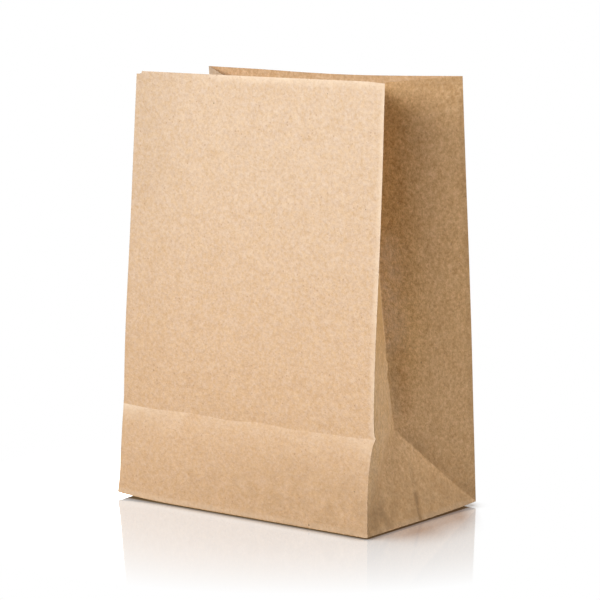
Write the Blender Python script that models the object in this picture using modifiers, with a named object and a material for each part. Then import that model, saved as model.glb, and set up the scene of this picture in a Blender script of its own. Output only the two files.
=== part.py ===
"""Brown paper lunch bag: one sheet folded to a tube with side gussets and a glued block bottom.

Metres, +Z up. The front panel faces -Y, and the origin is on the floor under the middle of the base.
The bag starts as an upright carton of paper, cut along every crease. fold() then carries each point of
the carton to its place on the open bag, so that the paper keeps its lengths: the side triangles tilt in,
the gussets fold in to their centre lines and the panels lean together towards the mouth.
"""

import math

import bmesh
import bpy
from mathutils import Vector

# Sheet and bag
BAG_WIDTH = 0.181
GUSSET_DEPTH = 0.108
PANEL_HEIGHT = 0.250
PAPER = 0.00015

# Stance of the open bag: how far its side triangles tilt in, and how far each gusset is folded at the mouth
TRIANGLE_TILT = math.radians(22.0)
MOUTH_FOLD_LEFT = math.radians(51.9)
MOUTH_FOLD_RIGHT = math.radians(45.2)
MOUTH_SHIFT = 0.0013
CENTRE_FOLD_BOW = 0.0025
FRONT_BOW = 0.0020
BACK_BOW = 0.0115

# Front crease, where the base was folded up against the panel
CREASE_DENT = 0.0011
CREASE_REACH = 0.014
KINK_LEFT = 0.0005
KINK_RIGHT = 0.0015
KINK_REACH = 0.006

# Base: its edges stand a little off the floor, and two corners have curled up
EDGE_RISE = 0.0006
EDGE_REACH = 0.012
LIFT_FRONT_LEFT = 0.0030
LIFT_BACK_RIGHT = 0.0012
LIFT_REACH = 0.021
FLAP_OVERLAP = 0.018

# Glued seam down the back, and the nick at the mouth's front left corner
SEAM_WIDTH = 0.018
SEAM_OFFSET = 0.0
NICK_WIDTH = 0.0044
NICK_DEPTH = 0.0016

# Mesh density: squares across half a gusset, across the middle of a panel and up its height
GUSSET_CELLS = 6
MIDDLE_CELLS = 6
UPPER_CELLS = 12

KRAFT_COLOUR = (0.62, 0.42, 0.26, 1.0)
KRAFT_ROUGHNESS = 0.85

HALF_WIDTH = BAG_WIDTH / 2
HALF_GUSSET = GUSSET_DEPTH / 2
UPPER_HEIGHT = PANEL_HEIGHT - HALF_GUSSET
CELL = HALF_GUSSET / GUSSET_CELLS
BASE_LEVEL = 2 * PAPER
EDGE_LEVEL = BASE_LEVEL + EDGE_RISE
SNAP = 1e-6


class Side:
    """The crease points of one side of the bag: sign is -1 for the left side and +1 for the right."""

    def __init__(self, sign, mouth_fold):
        half = HALF_GUSSET
        edge_x = sign * HALF_WIDTH
        apex_drop = math.cos(TRIANGLE_TILT)
        lower_lean = math.pi / 2 - 2 * math.atan(apex_drop)
        crease_y = half * (1 - math.sin(lower_lean))
        crease_z = EDGE_LEVEL + half * math.cos(lower_lean)
        self.sign = sign
        self.base = Vector((edge_x, 0, EDGE_LEVEL))
        self.apex = Vector((edge_x - sign * half * math.sin(TRIANGLE_TILT), 0, EDGE_LEVEL + half * apex_drop))
        self.corner = {}
        self.crease = {}
        self.mouth = {}
        for face in (-1, 1):
            mouth_y = face * half * math.cos(mouth_fold) - MOUTH_SHIFT
            lean = abs(mouth_y) - crease_y
            self.corner[face] = Vector((edge_x, face * half, EDGE_LEVEL))
            self.crease[face] = Vector((edge_x, face * crease_y, crease_z))
            self.mouth[face] = Vector((edge_x, mouth_y, crease_z + math.sqrt(UPPER_HEIGHT**2 - lean**2)))
        ridge_x = edge_x - sign * half * math.sin(mouth_fold)
        run = math.hypot(ridge_x - self.apex.x, MOUTH_SHIFT)
        self.ridge_top = Vector((ridge_x, -MOUTH_SHIFT, self.apex.z + math.sqrt(UPPER_HEIGHT**2 - run**2)))

    def edge(self, face, height):
        """A point of the fold between the gusset and the front (-1) or back (+1) panel."""
        if height <= HALF_GUSSET:
            return self.corner[face].lerp(self.crease[face], height / HALF_GUSSET)
        return self.crease[face].lerp(self.mouth[face], (height - HALF_GUSSET) / UPPER_HEIGHT)

    def ridge(self, height):
        """A point of the gusset's centre fold, above its triangle."""
        share = (height - HALF_GUSSET) / UPPER_HEIGHT
        point = self.apex.lerp(self.ridge_top, share)
        point.x -= self.sign * CENTRE_FOLD_BOW * math.sin(math.pi * share)
        return point

    def gusset(self, y, height):
        """The gusset's point at a depth y of the flat carton side."""
        face = -1 if y < 0 else 1
        inset = HALF_GUSSET - abs(y)
        if height >= HALF_GUSSET:
            return self.edge(face, height).lerp(self.ridge(height), inset / HALF_GUSSET)
        if inset >= height:
            return self.base + Vector((0, y, 0)) + (self.apex - self.base) * (height / HALF_GUSSET)
        up = (self.crease[face] - self.corner[face]) * (height / HALF_GUSSET)
        across = (self.apex - self.crease[face]) * (inset / HALF_GUSSET)
        return self.corner[face] + up + across


LEFT = Side(-1, MOUTH_FOLD_LEFT)
RIGHT = Side(1, MOUTH_FOLD_RIGHT)


def fade(distance, reach):
    """1 at no distance, easing to 0 at the reach."""
    return max(0.0, 1 - distance / reach) ** 2


def panel(x, face, height):
    """A point of the front (-1) or back (+1) panel, with the bow that its mouth has."""
    share = (x + HALF_WIDTH) / BAG_WIDTH
    point = LEFT.edge(face, height).lerp(RIGHT.edge(face, height), share)
    bow = FRONT_BOW if face < 0 else BACK_BOW
    point.y -= bow * math.sin(math.pi * share) * (height / PANEL_HEIGHT) ** 1.5
    return point


def base(x, y):
    """A point of the base, which is flat in the middle and rises to its edges."""
    to_edge = min(HALF_WIDTH - abs(x), HALF_GUSSET - abs(y))
    return Vector((x, y, BASE_LEVEL + EDGE_RISE * fade(to_edge, EDGE_REACH)))


def dents(flat):
    """The small local bends, from a point's place on the flat carton: lifted corners, crease and kinks."""
    shift = Vector((0, 0, 0))
    lifts = ((-1, -1, LIFT_FRONT_LEFT), (1, 1, LIFT_BACK_RIGHT))
    for side, face, lift in lifts:
        corner = Vector((side * HALF_WIDTH, face * HALF_GUSSET, 0))
        shift.z += lift * fade((flat - corner).length, LIFT_REACH)
    behind = flat.y + HALF_GUSSET
    above = abs(flat.z - HALF_GUSSET)
    shift.y += CREASE_DENT * math.exp(-above / CREASE_REACH) * fade(behind, CREASE_REACH)
    for sign, kink in ((-1, KINK_LEFT), (1, KINK_RIGHT)):
        along = HALF_WIDTH - sign * flat.x
        shift.x += sign * kink * fade(above + along + behind, KINK_REACH)
    return shift


def fold(flat):
    """The place on the open bag of a point of the upright carton."""
    if flat.z < SNAP:
        place = base(flat.x, flat.y)
    elif abs(flat.y) > HALF_GUSSET - SNAP:
        place = panel(flat.x, -1 if flat.y < 0 else 1, flat.z)
    else:
        place = (LEFT if flat.x < 0 else RIGHT).gusset(flat.y, flat.z)
    return place + dents(flat)


def even_steps(start, end, count):
    """The cuts that divide a length into count equal cells, without its ends."""
    return [start + (end - start) * step / count for step in range(1, count)]


def cut(mesh, faces, through, normal):
    """Cuts the faces along a plane."""
    edges = {edge for face in faces for edge in face.edges}
    points = {point for face in faces for point in face.verts}
    bmesh.ops.bisect_plane(
        mesh, geom=[*points, *edges, *faces], dist=SNAP, plane_co=through, plane_no=normal
    )


def side_faces(mesh):
    """The carton's two gusset walls below the crease."""
    return [
        face for face in mesh.faces
        if abs(face.normal.x) > 0.9 and face.calc_center_median().z < HALF_GUSSET
    ]


def base_faces(mesh):
    """The carton's floor."""
    return [face for face in mesh.faces if face.normal.z < -0.9]


def cut_carton():
    """The open carton of paper, still flat-sided, cut along its creases and into a grid."""
    mesh = bmesh.new()
    bmesh.ops.create_cube(mesh, size=1)
    bmesh.ops.scale(mesh, vec=(BAG_WIDTH, GUSSET_DEPTH, PANEL_HEIGHT), verts=mesh.verts)
    bmesh.ops.translate(mesh, vec=(0, 0, PANEL_HEIGHT / 2), verts=mesh.verts)
    lid = [face for face in mesh.faces if face.normal.z > 0.9]
    bmesh.ops.delete(mesh, geom=lid, context="FACES_ONLY")

    near_side = [CELL * step for step in range(1, GUSSET_CELLS + 1)] + [KINK_REACH / 2]
    across = even_steps(-HALF_WIDTH + HALF_GUSSET, HALF_WIDTH - HALF_GUSSET, MIDDLE_CELLS)
    across += [sign * (HALF_WIDTH - inset) for inset in near_side for sign in (-1, 1)]
    across += [SEAM_OFFSET - SEAM_WIDTH / 2, SEAM_OFFSET + SEAM_WIDTH / 2, NICK_WIDTH - HALF_WIDTH]
    for x in across:
        cut(mesh, mesh.faces[:], (x, 0, 0), (1, 0, 0))
    deep = even_steps(-HALF_GUSSET, HALF_GUSSET, 2 * GUSSET_CELLS)
    deep += [NICK_WIDTH - HALF_GUSSET]
    for y in deep:
        cut(mesh, mesh.faces[:], (0, y, 0), (0, 1, 0))
    up = even_steps(0, HALF_GUSSET, GUSSET_CELLS) + [HALF_GUSSET]
    up += even_steps(HALF_GUSSET, PANEL_HEIGHT, UPPER_CELLS) + [PANEL_HEIGHT - NICK_DEPTH]
    up += [HALF_GUSSET + KINK_REACH / 2, HALF_GUSSET - KINK_REACH / 2]
    for z in up:
        cut(mesh, mesh.faces[:], (0, 0, z), (0, 0, 1))

    for face in (-1, 1):
        cut(mesh, side_faces(mesh), (0, face * HALF_GUSSET, 0), (0, face, 1))
        for sign in (-1, 1):
            corner = (sign * HALF_WIDTH, face * HALF_GUSSET, 0)
            cut(mesh, base_faces(mesh), corner, (sign, -face, 0))
    cut(mesh, base_faces(mesh), (0, FLAP_OVERLAP / 2, 0), (0, 1, 0))
    return mesh


def nick_mouth(mesh):
    """Takes out the nick at the mouth, on both sides of the front left fold."""
    nicked = []
    for face in mesh.faces:
        middle = face.calc_center_median()
        from_fold = (middle.x + HALF_WIDTH) + (middle.y + HALF_GUSSET)
        if middle.z > PANEL_HEIGHT - NICK_DEPTH and from_fold < NICK_WIDTH:
            nicked.append(face)
    bmesh.ops.delete(mesh, geom=nicked, context="FACES")


def in_front_flap(x, y):
    """Whether a point of the underside lies on the outer flap, which folds over from the front panel."""
    inset = y + HALF_GUSSET
    return y < FLAP_OVERLAP / 2 and inset < HALF_WIDTH - abs(x)


def in_back_flap(x, y):
    """Whether it lies on the flap below that one, which folds over from the back panel."""
    return HALF_GUSSET - y < HALF_WIDTH - abs(x)


def raise_layer(mesh, faces, step):
    """Adds one more thickness of paper over some faces."""
    grown = bmesh.ops.extrude_face_region(mesh, geom=faces)["geom"]
    bmesh.ops.delete(mesh, geom=faces, context="FACES")
    points = [item for item in grown if isinstance(item, bmesh.types.BMVert)]
    bmesh.ops.translate(mesh, vec=step, verts=points)


def layer_faces(mesh, normal, chosen):
    """The outer faces that look along a direction and whose middles are chosen."""
    faces = []
    for face in mesh.faces:
        middle = face.calc_center_median()
        if face.normal.dot(Vector(normal)) > 0.9 and chosen(middle):
            faces.append(face)
    return faces


def glued_layers(mesh):
    """The doubled paper of the bottom flaps and of the seam down the back."""
    down = (0, 0, -PAPER)
    low = EDGE_LEVEL + max(LIFT_FRONT_LEFT, LIFT_BACK_RIGHT)

    def on_flaps(middle):
        flap = in_front_flap(middle.x, middle.y) or in_back_flap(middle.x, middle.y)
        return flap and middle.z < low

    def on_front_flap(middle):
        return in_front_flap(middle.x, middle.y) and middle.z < low

    def on_seam(middle):
        return abs(middle.x - SEAM_OFFSET) < SEAM_WIDTH / 2 and middle.y > 0

    raise_layer(mesh, layer_faces(mesh, (0, 1, 0), on_seam), (0, PAPER, 0))
    raise_layer(mesh, layer_faces(mesh, (0, 0, -1), on_flaps), down)
    raise_layer(mesh, layer_faces(mesh, (0, 0, -1), on_front_flap), down)


def kraft_paper():
    """Unbleached brown paper."""
    material = bpy.data.materials.new("kraft_paper")
    material.use_nodes = True
    shader = material.node_tree.nodes["Principled BSDF"]
    shader.inputs["Base Color"].default_value = KRAFT_COLOUR
    shader.inputs["Roughness"].default_value = KRAFT_ROUGHNESS
    shader.inputs["Metallic"].default_value = 0.0
    return material


def solid_sheet(mesh, name):
    """The folded surface given its thickness inwards, as a mesh of its own."""
    surface = bpy.data.meshes.new("folded_surface")
    mesh.to_mesh(surface)
    mesh.free()
    sheet = bpy.data.objects.new("folded_surface", surface)
    bpy.context.scene.collection.objects.link(sheet)
    wall = sheet.modifiers.new("paper", "SOLIDIFY")
    wall.thickness = PAPER
    wall.offset = -1
    wall.use_even_offset = True
    wall.use_quality_normals = True
    ready = sheet.evaluated_get(bpy.context.evaluated_depsgraph_get())
    solid = bpy.data.meshes.new_from_object(ready)
    solid.name = name
    bpy.data.objects.remove(sheet)
    bpy.data.meshes.remove(surface)
    return solid


def paper_bag():
    """The whole bag, which is one piece."""
    carton = cut_carton()
    nick_mouth(carton)
    for point in carton.verts:
        point.co = fold(point.co.copy())
    bmesh.ops.triangulate(carton, faces=[face for face in carton.faces if len(face.verts) > 4])
    carton.normal_update()
    solid = solid_sheet(carton, "paper_bag")
    mesh = bmesh.new()
    mesh.from_mesh(solid)
    glued_layers(mesh)
    mesh.to_mesh(solid)
    mesh.free()
    solid.materials.append(kraft_paper())
    return bpy.data.objects.new("paper_bag", solid)


def main():
    for item in list(bpy.data.objects):
        bpy.data.objects.remove(item)
    parts = bpy.data.collections.new("brown_paper_lunch_bag")
    bpy.context.scene.collection.children.link(parts)
    parts.objects.link(paper_bag())


main()
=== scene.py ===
"""Kraft paper lunch bag, standing open on a glossy white studio floor.

The bag is folded from an upright carton of paper. The carton is cut along its creases and into a grid, and
each of its points is carried to its place on the open bag. Then the creases are rounded, the panels get the
slight waves of handled paper, and the sheet gets its thickness. Metres, +Z up, front panel towards -Y.
"""

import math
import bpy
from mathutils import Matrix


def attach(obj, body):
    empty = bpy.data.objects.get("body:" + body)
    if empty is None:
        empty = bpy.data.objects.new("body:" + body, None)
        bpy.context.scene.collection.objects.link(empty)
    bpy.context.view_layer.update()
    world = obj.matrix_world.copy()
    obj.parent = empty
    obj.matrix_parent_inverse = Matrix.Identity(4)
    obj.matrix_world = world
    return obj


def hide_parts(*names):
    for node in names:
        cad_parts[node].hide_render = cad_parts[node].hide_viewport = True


bl_info = {
    "name": "Kraft Paper Lunch Bag",
    "version": (1, 0, 0),
    "blender": (4, 5, 0),
    "location": "View3D > Sidebar > Lunch Bag",
    "description": "Folds an open block-bottom paper bag and sets it on a studio floor",
    "category": "Add Mesh",
}

import bmesh
import bpy
from mathutils import Vector, noise

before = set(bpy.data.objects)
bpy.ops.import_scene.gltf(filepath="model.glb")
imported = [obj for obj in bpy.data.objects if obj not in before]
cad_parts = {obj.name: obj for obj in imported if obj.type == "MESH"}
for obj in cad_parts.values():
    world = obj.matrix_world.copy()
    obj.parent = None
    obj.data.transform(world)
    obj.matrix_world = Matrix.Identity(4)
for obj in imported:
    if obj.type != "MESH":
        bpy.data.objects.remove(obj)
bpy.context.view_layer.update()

CAD_NODE = "paper_bag"
FRONT, BACK = -1, 1
LEFT, RIGHT = -1, 1
SNAP = 1e-6
WHITE = (1.0, 1.0, 1.0, 1.0)

FLAT = "flat"  # the attribute that keeps each point's place on the carton

# The attributes that keep, for the material, each point's shares of worn paper and painted highlight,
# of pressed lines and painted shade, of painted fold shade, and of painted light towards the mouth.
TONES = ("worn_paper", "pressed_paper", "tucked_paper", "faded_paper")

HALF_GUSSET_CELLS = 5  # grid cells in half a gusset's depth
MIDDLE_CELLS = 7  # grid cells across the middle of a panel
UPPER_CELLS = 17  # grid cells up a panel, above the gussets' triangles
BESIDE_CREASE = 0.0035  # distance of the cuts that keep a crease narrow when it is smoothed
SMOOTHING_LEVELS = 2
SHARP_FOLD = math.radians(50)
FACING = 0.9  # least part of a face's normal along the way it looks, on the flat carton
FACING_FOLDED = 0.2  # the same on the folded bag

BOW_GROWTH = 1.5  # power by which a panel's bow grows with its height
CREASE_STRAYS = 38.0  # strays of the front crease in a metre
CREASE_UNEVENNESS = 0.8  # share by which its valley gets deeper and shallower
BROAD_WAVES = 24.0  # broad waves of a panel in a metre
STREAK_WAVES = Vector((75.0, 75.0, 9.0))  # narrow waves that run up the bag
FINE_WAVES = 85.0
FINE_SHIFT = Vector((3.0, 1.0, 7.0))  # keeps the fine waves apart from the broad ones
STREAK_SHARE = 0.5  # height of the narrow waves beside the broad ones
FINE_SHARE = 0.16  # height of the fine waves beside the broad ones
FOLD_HOLD = 0.012  # distance over which a fold keeps the paper beside it straight
WAVES_ON_FOLD = 0.15  # share of the waves that is left on a fold
WRINKLE_HOLD = 0.006  # distance over which a gusset's folds hold its wrinkles flat
WRINKLE_START = 0.003  # how far below the base that distance begins at a gusset's foot
EDGE_LINE_REACH = 0.0012  # reach of the pale line along a bottom or side fold, and of the painted shade line along a gusset's back fold


def length(name, description, default):
    """A length in metres that a user can change."""
    return bpy.props.FloatProperty(
        name=name, description=description, default=default, unit="LENGTH", precision=5
    )


def turn(name, description, degrees):
    """An angle that a user can change."""
    return bpy.props.FloatProperty(
        name=name, description=description, default=math.radians(degrees), unit="ROTATION"
    )


def share(name, description, default):
    """A plain number from 0 up."""
    return bpy.props.FloatProperty(name=name, description=description, default=default, min=0.0)


def colour(name, description, default):
    """A colour that a user can change."""
    return bpy.props.FloatVectorProperty(
        name=name, description=description, default=default, subtype="COLOR", size=3, min=0.0, max=1.0
    )


class LunchBagSizes(bpy.types.PropertyGroup):
    """Sizes of the sheet and of the stance that the open bag has taken."""

    width: length("Width", "Front panel from fold to fold", 0.181)
    gusset_depth: length("Gusset depth", "Side of the bag from fold to fold, laid flat", 0.108)
    height: length("Height", "Panel from the bottom fold to the mouth, along the paper", 0.250)
    paper: length("Paper", "Thickness of the sheet", 0.00015)
    triangle_tilt: turn("Triangle tilt", "How far the side triangles lean inwards", 22.0)
    mouth_fold_left: turn("Left mouth fold", "Turn of each half of the left gusset at the mouth", 51.9)
    mouth_fold_right: turn("Right mouth fold", "Turn of each half of the right gusset at the mouth", 45.2)
    mouth_shift: length("Mouth shift", "How far the mouth leans forward", 0.0013)
    centre_fold_bow: length("Centre fold bow", "Inward bow of the gussets' centre folds", 0.0025)
    front_bow: length("Front bow", "Bow of the front panel at the mouth", 0.0020)
    back_bow: length("Back bow", "Bow of the back panel at the mouth", 0.0115)
    crease_dent: length("Crease dent", "Depth of the valley along the front crease", 0.0011)
    crease_wander: length("Crease wander", "How far the front crease strays up and down", 0.0011)
    crease_reach: length("Crease reach", "Distance over which the valley fades above the crease", 0.020)
    crease_turn: length("Crease turn", "Distance over which the valley fades below the crease", 0.007)
    crease_wrap: length("Crease wrap", "Distance over which the valley fades round the front fold", 0.014)
    kink_left: length("Left kink", "How far the crease's left end sticks out", 0.0005)
    kink_right: length("Right kink", "How far the crease's right end sticks out", 0.0015)
    kink_reach: length("Kink reach", "Distance over which a kink fades", 0.006)
    edge_rise: length("Edge rise", "Height of the base's edges off the floor", 0.0006)
    edge_reach: length("Edge reach", "Width of the base's rising border", 0.012)
    lift_front_left: length("Front left lift", "Curl of the base's front left corner", 0.0018)
    lift_back_right: length("Back right lift", "Curl of the base's back right corner", 0.0012)
    lift_reach: length("Lift reach", "Distance over which a lifted corner fades", 0.040)
    flap_overlap: length("Flap overlap", "Overlap of the two bottom flaps", 0.018)
    seam_width: length("Seam width", "Glued overlap down the back", 0.018)
    nick_width: length("Nick width", "Nick at the mouth's front left corner", 0.0044)
    nick_depth: length("Nick depth", "Depth of that nick", 0.0016)
    fold_softness: length("Fold softness", "Half width of the rounded paper along a fold", 0.0007)


class LunchBagLook(bpy.types.PropertyGroup):
    """Colours and texture of the paper."""

    paper_light: colour("Light pulp", "Colour of the paper where its pulp is pale", (0.915, 0.668, 0.477))
    paper_dark: colour("Dark pulp", "Colour of the paper where its pulp is dense", (0.770, 0.515, 0.325))
    # Painted light and shade: the outer panels are tinted darker at the base and paler at the mouth, where
    # more light falls.
    base_shade_tint: colour("Base shade tint", "Tint of the outer panels at the base", (0.880, 0.815, 0.750))
    mouth_light_tint: colour(
        "Mouth light tint", "Tint of the outer panels at the mouth, where they have faded", (0.902, 0.935, 1.0)
    )
    # Painted shade: the gussets, the inside and the underside take a deeper, warmer tint and darker fibres,
    # for the light that bounces between the folded walls and grazes their relief.
    fold_shade_tint: colour("Fold shade tint", "Tint of the paper that lies folded in", (1.0, 0.850, 0.520))
    fold_shade_grain: colour(
        "Fold shade fibre", "Tint of the densest fibres where the paper lies folded in", (0.600, 0.520, 0.380)
    )
    bark: colour("Bark", "Colour of the bark specks in the pulp", (0.170, 0.095, 0.050))
    warm: colour("Warm fibre", "Tint of the yellower fibres", (1.0, 0.978, 0.860))
    cool: colour("Cool fibre", "Tint of the greyer fibres", (0.980, 1.0, 1.0))
    bran: colour("Bran", "Colour of the small reddish specks in the pulp", (0.430, 0.215, 0.110))
    # Worn fibres along folds and edges, and painted highlights: along the near right fold, the mouth's edge,
    # below the front crease and on the lit parts of the right gusset.
    worn_and_lit: colour(
        "Worn and lit fold", "Colour of the fibres raised along worn folds and edges", (0.970, 0.770, 0.570)
    )
    # Pressed lines along the glued seam and the bottom flap, and painted shade: at the panels' feet, along
    # the front's left fold and above its crease, in the gussets' wrinkles, hollows and slanting creases, and
    # inside.
    shade_and_crease: colour("Pressed and shaded fold", "Colour of the paper along hard pressed folds", (0.400, 0.234, 0.104))
    roughness: share("Roughness", "Roughness of the paper", 0.78)
    fibre_relief: length("Fibre relief", "Height of the fibres in the surface", 0.00045)
    waviness: length("Waviness", "Height of the broad waves in the panels", 0.00030)


class LunchBagStage(bpy.types.PropertyGroup):
    """Floor, lamps and camera."""

    floor: colour("Floor", "Colour of the floor", (0.86, 0.86, 0.86))
    floor_radius: length("Floor radius", "Radius of the floor", 6.0)
    bounce: share("Bounce", "Share of the lamps' light that the floor throws back at the bag", 0.30)
    shadow: colour("Shadow", "Colour of the floor's shadow, warm from the paper", (0.36, 0.19, 0.115))
    gloss: share("Gloss", "Strength of the floor's mirror image", 1.42)
    gloss_start: length("Gloss start", "Distance from the bag's middle to which the gloss is full", 0.070)
    gloss_end: length("Gloss end", "Distance from the bag's middle at which the gloss ends", 0.215)
    ambient: share("Ambient", "Strength of the light from all round", 0.12)
    key: share("Key lamp", "Power of the front lamp in watts", 19.4)
    side: share("Side lamp", "Power of the weak lamp on the right in watts", 1.2)
    rear: share("Rear lamps", "Power of each lamp behind the bag in watts", 9.4)
    lens: share("Lens", "Focal length in millimetres", 156.96)


class GussetSide:
    """The crease points of one side of the bag."""

    def __init__(self, sizes, sign, mouth_fold):
        half = sizes.gusset_depth / 2
        upper = sizes.height - half
        edge_level = 2 * sizes.paper + sizes.edge_rise
        edge_x = sign * sizes.width / 2
        apex_drop = math.cos(sizes.triangle_tilt)
        lower_lean = math.pi / 2 - 2 * math.atan(apex_drop)
        crease_y = half * (1 - math.sin(lower_lean))
        crease_z = edge_level + half * math.cos(lower_lean)
        apex_x = edge_x - sign * half * math.sin(sizes.triangle_tilt)
        self.sign = sign
        self.half = half
        self.upper = upper
        self.bow = sizes.centre_fold_bow
        self.base = Vector((edge_x, 0, edge_level))
        self.apex = Vector((apex_x, 0, edge_level + half * apex_drop))
        self.corner = {}
        self.crease = {}
        self.mouth = {}
        for face in (FRONT, BACK):
            mouth_y = face * half * math.cos(mouth_fold) - sizes.mouth_shift
            lean = abs(mouth_y) - crease_y
            self.corner[face] = Vector((edge_x, face * half, edge_level))
            self.crease[face] = Vector((edge_x, face * crease_y, crease_z))
            self.mouth[face] = Vector((edge_x, mouth_y, crease_z + math.sqrt(upper**2 - lean**2)))
        ridge_x = edge_x - sign * half * math.sin(mouth_fold)
        run = math.hypot(ridge_x - apex_x, sizes.mouth_shift)
        self.ridge_top = Vector((ridge_x, -sizes.mouth_shift, self.apex.z + math.sqrt(upper**2 - run**2)))

    def edge(self, face, height):
        """A point of the fold between the gusset and a panel."""
        if height <= self.half:
            return self.corner[face].lerp(self.crease[face], height / self.half)
        return self.crease[face].lerp(self.mouth[face], (height - self.half) / self.upper)

    def ridge(self, height):
        """A point of the gusset's centre fold, above its triangle."""
        risen = (height - self.half) / self.upper
        point = self.apex.lerp(self.ridge_top, risen)
        point.x -= self.sign * self.bow * math.sin(math.pi * risen)
        return point

    def point(self, y, height):
        """The gusset's point at a depth y of the flat carton side."""
        face = FRONT if y < 0 else BACK
        inset = self.half - abs(y)
        if height >= self.half:
            return self.edge(face, height).lerp(self.ridge(height), inset / self.half)
        if inset >= height:
            return self.base + Vector((0, y, 0)) + (self.apex - self.base) * (height / self.half)
        up = (self.crease[face] - self.corner[face]) * (height / self.half)
        across = (self.apex - self.crease[face]) * (inset / self.half)
        return self.corner[face] + up + across


def fade(distance, reach):
    """1 at no distance, easing to 0 at the reach."""
    return max(0.0, 1 - distance / reach) ** 2


def bump(offset, reach):
    """1 at the middle of a bend, easing to 0 at its reach along each axis."""
    return max(0.0, 1 - sum((along / far) ** 2 for along, far in zip(offset, reach))) ** 2


# The small bends that the stance has given single places: the place on the carton, as shares of half its
# width, half its depth and its height; the bend's reach along each axis; and its shift.
LOCAL_BENDS = (
    ((1, 1, 0.40), (0.030, 0.030, 0.150), (0.0010, 0, 0)),
    ((1, -1, 0.72), (0.030, 0.030, 0.090), (0.0007, 0, 0)),
    ((1, -1, 0.11), (0.026, 0.020, 0.027), (-0.0014, 0, 0)),
    ((-1, -1, 0), (0.012, 0.012, 0.013), (-0.0010, 0, 0)),
    ((-1, -1, 0.40), (0.030, 0.030, 0.060), (-0.0005, 0, 0)),
    ((0.26, 1, 1), (0.080, 0.010, 0.045), (0, 0, -0.0011)),
    ((1, -1, 1), (0.004, 0.004, 0.006), (0, 0, -0.0008)),
)


class BagFolds:
    """Carries the points of the upright carton to their places on the open bag."""

    def __init__(self, sizes):
        self.sizes = sizes
        self.half_width = sizes.width / 2
        self.half_gusset = sizes.gusset_depth / 2
        self.base_level = 2 * sizes.paper
        self.sides = {
            LEFT: GussetSide(sizes, LEFT, sizes.mouth_fold_left),
            RIGHT: GussetSide(sizes, RIGHT, sizes.mouth_fold_right),
        }

    def panel(self, x, face, height):
        """A point of the front or back panel, with the bow that its mouth has."""
        across = (x + self.half_width) / self.sizes.width
        point = self.sides[LEFT].edge(face, height).lerp(self.sides[RIGHT].edge(face, height), across)
        bow = self.sizes.front_bow if face == FRONT else self.sizes.back_bow
        point.y -= bow * math.sin(math.pi * across) * (height / self.sizes.height) ** BOW_GROWTH
        return point

    def base(self, x, y):
        """A point of the base, which is flat in the middle and rises to its edges."""
        to_edge = min(self.half_width - abs(x), self.half_gusset - abs(y))
        return Vector((x, y, self.base_level + self.sizes.edge_rise * fade(to_edge, self.sizes.edge_reach)))

    def dents(self, flat):
        """The small local bends: lifted corners, front crease and kinks."""
        sizes = self.sizes
        shift = Vector((0, 0, 0))
        for side, face, lift in ((LEFT, FRONT, sizes.lift_front_left), (RIGHT, BACK, sizes.lift_back_right)):
            corner = Vector((side * self.half_width, face * self.half_gusset, 0))
            shift.z += lift * fade((flat - corner).length, sizes.lift_reach)
        behind = flat.y + self.half_gusset
        above = abs(flat.z - self.half_gusset)
        reach = sizes.crease_reach if flat.z > self.half_gusset else sizes.crease_turn
        uneven = noise.noise(Vector((flat.x * CREASE_STRAYS, 0.0, 0.0)))
        near_crease = math.exp(-above / reach) * fade(behind, sizes.crease_wrap)
        shift.y += sizes.crease_dent * (1 + CREASE_UNEVENNESS * uneven) * near_crease
        shift.z += sizes.crease_wander * uneven * near_crease
        for sign, kink in ((LEFT, sizes.kink_left), (RIGHT, sizes.kink_right)):
            along = self.half_width - sign * flat.x
            shift.x += sign * kink * fade(above + along + behind, sizes.kink_reach)
        half = Vector((self.half_width, self.half_gusset, sizes.height))
        for place, reach, bend in LOCAL_BENDS:
            shift += Vector(bend) * bump(flat - Vector(place) * half, reach)
        return shift

    def place(self, flat):
        """The place on the open bag of a point of the carton."""
        if flat.z < SNAP:
            place = self.base(flat.x, flat.y)
        elif abs(flat.y) > self.half_gusset - SNAP:
            place = self.panel(flat.x, FRONT if flat.y < 0 else BACK, flat.z)
        else:
            place = self.sides[LEFT if flat.x < 0 else RIGHT].point(flat.y, flat.z)
        return place + self.dents(flat)


def even_steps(start, end, count):
    """The cuts that divide a length into count equal cells, without its ends."""
    return [start + (end - start) * step / count for step in range(1, count)]


def cut(mesh, faces, through, normal):
    """Cuts the faces along a plane."""
    edges = {edge for face in faces for edge in face.edges}
    points = {point for face in faces for point in face.verts}
    bmesh.ops.bisect_plane(mesh, geom=[*points, *edges, *faces], dist=SNAP, plane_co=through, plane_no=normal)


def side_faces(mesh, top):
    """The carton's two gusset walls below a height."""
    walls = [face for face in mesh.faces if abs(face.normal.x) > FACING]
    return [face for face in walls if face.calc_center_median().z < top]


def base_faces(mesh):
    """The carton's floor."""
    return [face for face in mesh.faces if face.normal.z < -FACING]


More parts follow.
